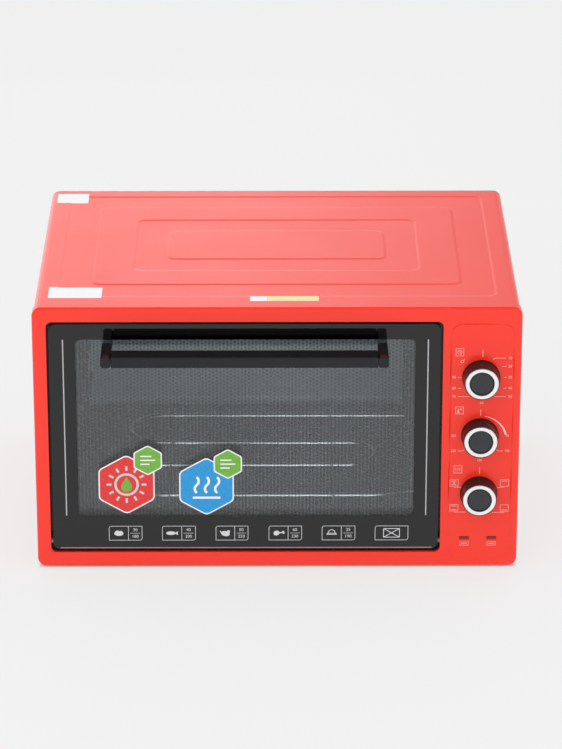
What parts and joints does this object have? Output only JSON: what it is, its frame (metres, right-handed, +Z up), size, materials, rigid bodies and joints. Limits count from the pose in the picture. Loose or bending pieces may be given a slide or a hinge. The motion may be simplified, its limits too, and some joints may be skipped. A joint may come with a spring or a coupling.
{
  "type": "mini oven",
  "caption": "Countertop mini oven in a red steel casing, with a drop-down glass door, bar handle, baking cavity with tube heaters and rotary controls down the right side.",
  "frame": {"origin": "centre of the overall width and depth, on the plane the feet rest on", "axes": "+X to the right seen from the front, +Y from the door towards the back, +Z up; the door faces -Y"},
  "size_m": [0.52, 0.4348, 0.305],
  "materials": {
    "casing_red": "glossy powder coat, warm red",
    "galvanised_steel": "dull zinc-coated sheet",
    "cavity_enamel": "grey enamel, half gloss",
    "door_black": "black enamel, half gloss",
    "door_glass": "tempered glass with a black printed border and a fine dot print over the window",
    "inner_glass": "clear tempered glass",
    "silicone": "black heat-resistant seal",
    "handle_black": "black, glossy above and satin in front",
    "knob_black": "black, satin",
    "knob_ring": "silver-coloured trim",
    "heater_tube": "bright sheathed element",
    "zinc_steel": "zinc-plated steel",
    "switch_body": "cream moulded plastic",
    "indicator_red": "dark red lens, unlit",
    "neon_lamp": "clear lamp",
    "foot_rubber": "matt black"
  },
  "bodies": {
    "cabinet": {"front_frame": "casing_red", "cabinet_wrap": "casing_red", "base_plate": "galvanised_steel", "back_panel": "galvanised_steel", "cavity_liner": "cavity_enamel", "lower_heater": "heater_tube", "upper_heater": "heater_tube", "lower_heater_plate": "zinc_steel", "upper_heater_plate": "zinc_steel", "lower_heater_strip_left": "zinc_steel", "lower_heater_strip_right": "zinc_steel", "upper_heater_strip_left": "zinc_steel", "upper_heater_strip_right": "zinc_steel", "hinge_plate_left": "zinc_steel", "hinge_plate_right": "zinc_steel", "timer_body": "switch_body", "timer_bell": "zinc_steel", "thermostat_body": "switch_body", "selector_body": "switch_body", "power_lens": "indicator_red", "heating_lens": "indicator_red", "power_lamp": "neon_lamp", "heating_lamp": "neon_lamp", "foot_front_left": "foot_rubber", "foot_front_right": "foot_rubber", "foot_back_left": "foot_rubber", "foot_back_right": "foot_rubber", "cord_gland": "handle_black", "terminal_block": "switch_body"},
    "door": {"door_glass": "door_glass", "door_frame": "door_black", "door_inner_glass": "inner_glass", "door_spacer": "silicone", "handle_bar": "handle_black", "handle_bracket_left": "handle_black", "handle_bracket_right": "handle_black", "hinge_pin_left": "zinc_steel", "hinge_pin_right": "zinc_steel"},
    "timer_dial": {"timer_knob": "knob_black", "timer_knob_ring": "knob_ring", "timer_shaft": "zinc_steel"},
    "thermostat_dial": {"thermostat_knob": "knob_black", "thermostat_knob_ring": "knob_ring", "thermostat_shaft": "zinc_steel"},
    "selector_dial": {"selector_knob": "knob_black", "selector_knob_ring": "knob_ring", "selector_shaft": "zinc_steel"}
  },
  "joints": [
    {"name": "door_hinge", "type": "hinge", "parent": "cabinet", "child": "door", "pos_m": [0, -0.1666, 0.032], "axis": [1, 0, 0], "range_deg": [0, 82]},
    {"name": "timer_turn", "type": "hinge", "parent": "cabinet", "child": "timer_dial", "pos_m": [0.21715, -0.1748, 0.2256], "axis": [0, 1, 0], "range_deg": [-40, 285]},
    {"name": "thermostat_turn", "type": "hinge", "parent": "cabinet", "child": "thermostat_dial", "pos_m": [0.21715, -0.1748, 0.1585], "axis": [0, 1, 0], "range_deg": [0, 290]},
    {"name": "function_turn", "type": "hinge", "parent": "cabinet", "child": "selector_dial", "pos_m": [0.21715, -0.1748, 0.0908], "axis": [0, 1, 0], "range_deg": [0, 305]}
  ]
}
